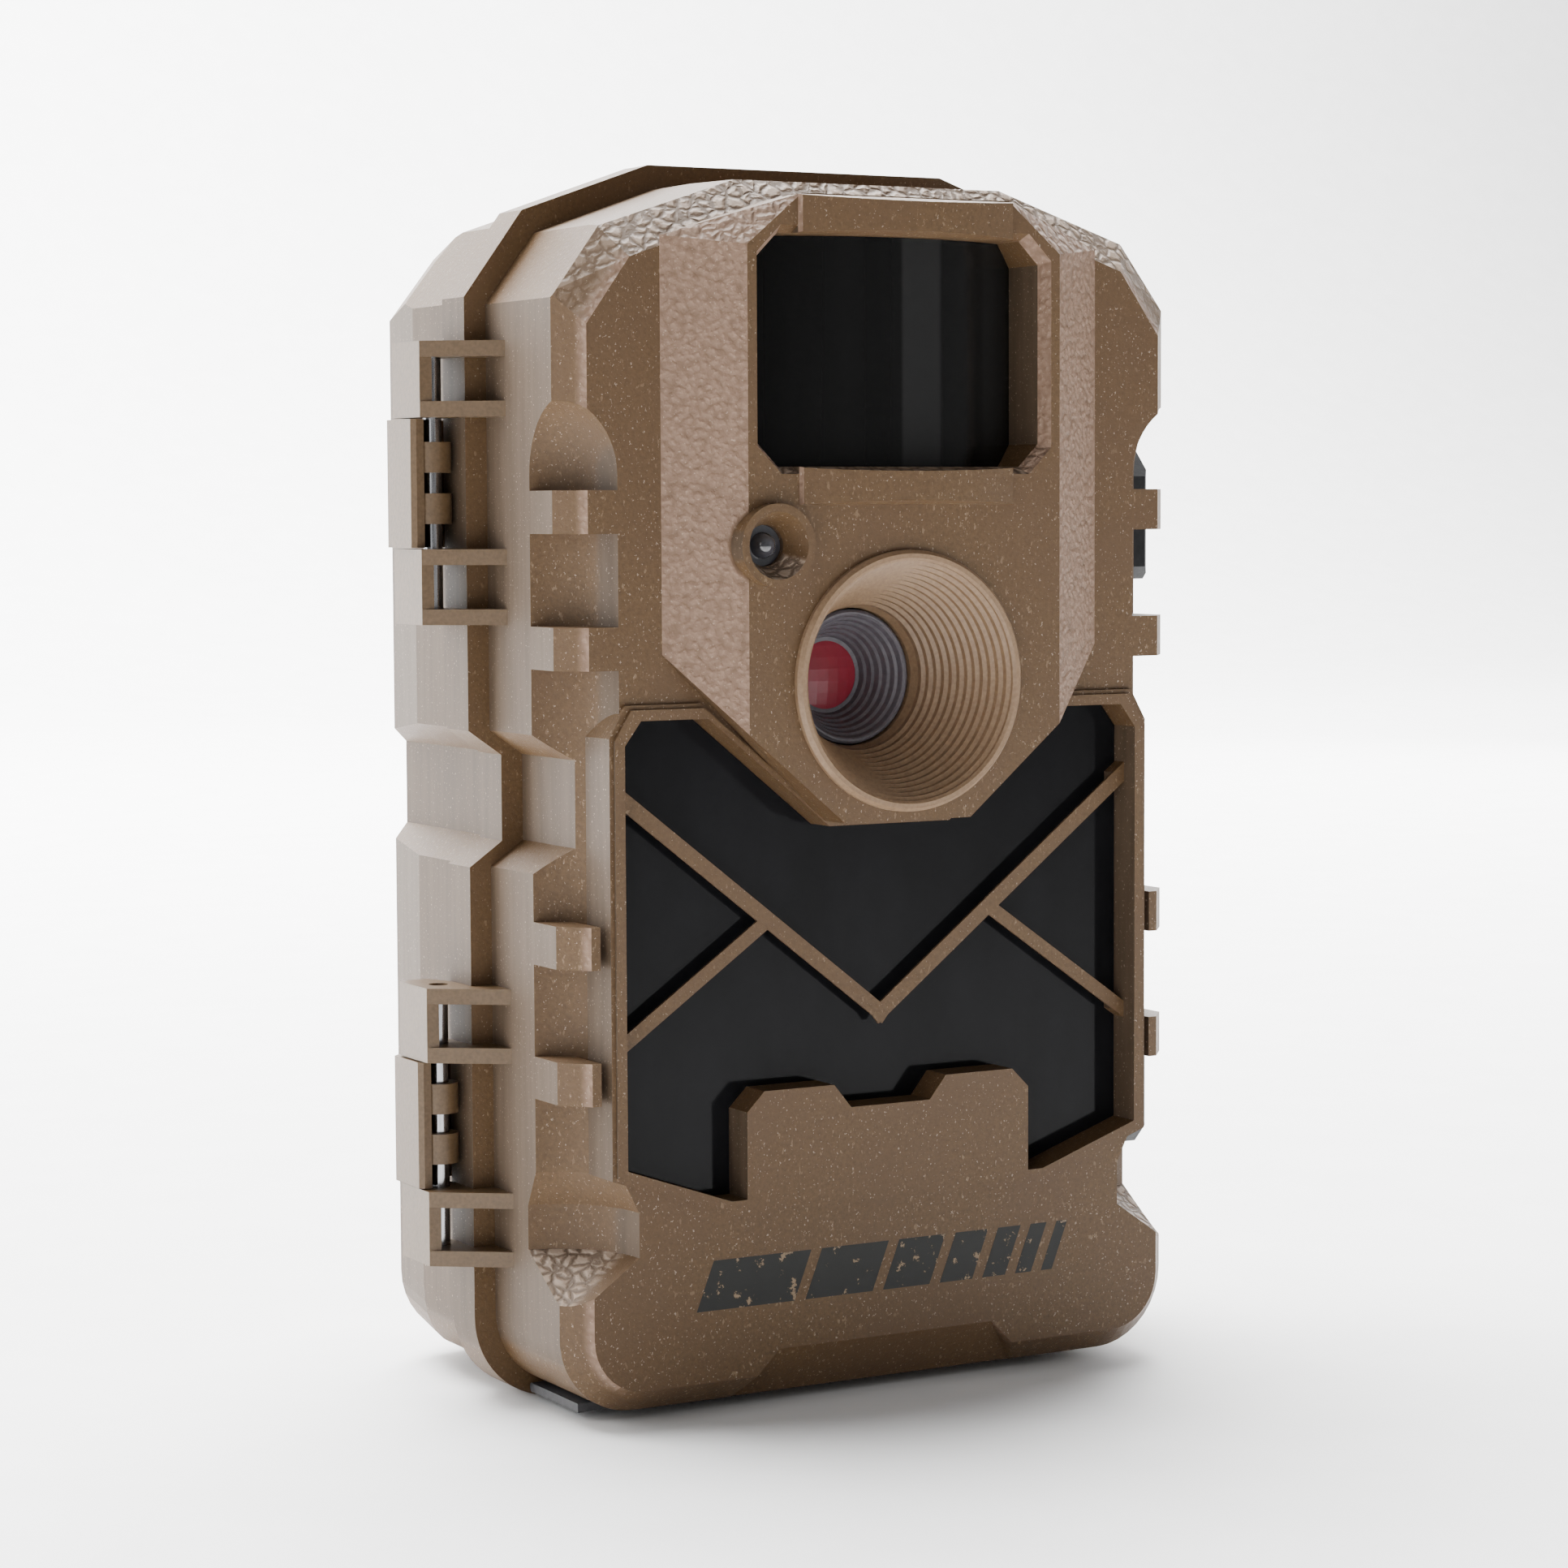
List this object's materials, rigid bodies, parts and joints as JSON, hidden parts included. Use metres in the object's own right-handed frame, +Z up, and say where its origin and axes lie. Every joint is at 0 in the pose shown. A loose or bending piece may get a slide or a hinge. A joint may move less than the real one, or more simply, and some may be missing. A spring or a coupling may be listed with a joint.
{
  "type": "trail camera",
  "caption": "Compact hinged trail camera with a motion window, a coned lens hood, an infrared lamp panel, latches, strap ribs and a tripod socket.",
  "frame": {"origin": "centre of the tripod socket's mouth on the base", "axes": "+Z up, -Y towards the lens side, +X towards the latches"},
  "size_m": [0.0966, 0.072, 0.14],
  "materials": {
    "case_plastic": "moulded grain",
    "rubber_seal": "matte",
    "port_rubber": "matte",
    "steel": "bright",
    "latch_plastic": "satin",
    "lamp_window": "polished",
    "motion_window": "satin",
    "hood_plastic": "fine steps",
    "barrel_plastic": "threaded",
    "coated_glass": "red coating",
    "clear_glass": "polished",
    "sensor_dark": "glossy",
    "copper_coil": "enamelled wire",
    "board_green": "solder mask",
    "chip_black": "matte",
    "bright_metal": "plated",
    "lamp_clear": "clear domes",
    "cover_plastic": "fine grain",
    "display_glass": "glossy",
    "button_grey": "soft",
    "button_red": "soft",
    "switch_white": "satin",
    "card_blue": "satin",
    "cell_wrap": "printed sleeve",
    "brass_insert": "turned",
    "cable_film": "film"
  },
  "bodies": {
    "rear_case": {"rear_shell": "case_plastic", "strap_ribs": "case_plastic", "hinge_blocks": "case_plastic", "latch_ears": "case_plastic", "seal_gasket": "rubber_seal", "hinge_pins": "steel", "latch_pins": "steel", "tripod_insert": "brass_insert"},
    "front_case": {"front_shell": "case_plastic", "hinge_arms": "case_plastic", "led_window": "lamp_window", "pir_window": "motion_window", "lens_hood": "hood_plastic", "lens_barrel": "barrel_plastic", "lens_glass": "coated_glass", "light_sensor": "sensor_dark", "dc_jack": "chip_black", "lens_holder": "barrel_plastic", "rear_lens": "clear_glass", "filter_coil": "copper_coil", "image_sensor": "sensor_dark", "main_board": "board_green", "board_chips": "chip_black", "tact_switches": "bright_metal", "switch_body": "bright_metal", "sd_socket": "bright_metal", "usb_port": "bright_metal", "led_board": "board_green", "ir_leds": "lamp_clear", "pir_sensor": "bright_metal", "pir_board": "board_green", "inner_cover": "cover_plastic", "lcd_display": "display_glass", "aa_cells": "cell_wrap", "battery_springs": "steel", "battery_contacts": "bright_metal", "cover_screws": "steel", "board_screws": "steel", "ribbon_cable": "cable_film"},
    "upper_latch": {"upper_latch": "latch_plastic"},
    "lower_latch": {"lower_latch": "latch_plastic"},
    "port_flap": {"port_flap": "port_rubber"},
    "filter_frame": {"filter_frame": "clear_glass"},
    "button_up": {"button_up": "button_grey"},
    "button_down": {"button_down": "button_grey"},
    "button_left": {"button_left": "button_grey"},
    "button_right": {"button_right": "button_grey"},
    "button_ok": {"button_ok": "button_red"},
    "power_switch": {"power_switch": "switch_white"},
    "sd_card": {"sd_card": "card_blue"}
  },
  "joints": [
    {"name": "case_hinge", "type": "hinge", "parent": "rear_case", "child": "front_case", "pos_m": [-0.045, -0.0164, 0.068], "axis": [0, 0, 1], "range_deg": [-100, 0]},
    {"name": "upper_latch_pivot", "type": "hinge", "parent": "rear_case", "child": "upper_latch", "pos_m": [0.0454, -0.008, 0.1], "axis": [0, 0, 1], "range_deg": [0, 105]},
    {"name": "lower_latch_pivot", "type": "hinge", "parent": "rear_case", "child": "lower_latch", "pos_m": [0.0454, -0.008, 0.03], "axis": [0, 0, 1], "range_deg": [0, 105]},
    {"name": "port_flap_hinge", "type": "hinge", "parent": "front_case", "child": "port_flap", "pos_m": [-0.0245, -0.021, 0.0014], "axis": [1, 0, 0], "range_deg": [0, 90]},
    {"name": "filter_slide", "type": "slide", "parent": "front_case", "child": "filter_frame", "axis": [1, 0, 0], "range_m": [0, 0.004]},
    {"name": "button_up_press", "type": "slide", "parent": "front_case", "child": "button_up", "axis": [0, -1, 0], "range_m": [0, 0.0007], "stiffness_N_per_m": 300},
    {"name": "button_down_press", "type": "slide", "parent": "front_case", "child": "button_down", "axis": [0, -1, 0], "range_m": [0, 0.0007], "stiffness_N_per_m": 300},
    {"name": "button_left_press", "type": "slide", "parent": "front_case", "child": "button_left", "axis": [0, -1, 0], "range_m": [0, 0.0007], "stiffness_N_per_m": 300},
    {"name": "button_right_press", "type": "slide", "parent": "front_case", "child": "button_right", "axis": [0, -1, 0], "range_m": [0, 0.0007], "stiffness_N_per_m": 300},
    {"name": "button_ok_press", "type": "slide", "parent": "front_case", "child": "button_ok", "axis": [0, -1, 0], "range_m": [0, 0.0007], "stiffness_N_per_m": 300},
    {"name": "power_switch_slide", "type": "slide", "parent": "front_case", "child": "power_switch", "axis": [1, 0, 0], "range_m": [-0.003, 0.003]},
    {"name": "sd_card_slide", "type": "slide", "parent": "front_case", "child": "sd_card", "axis": [1, 0, 0], "range_m": [0, 0.004]}
  ]
}
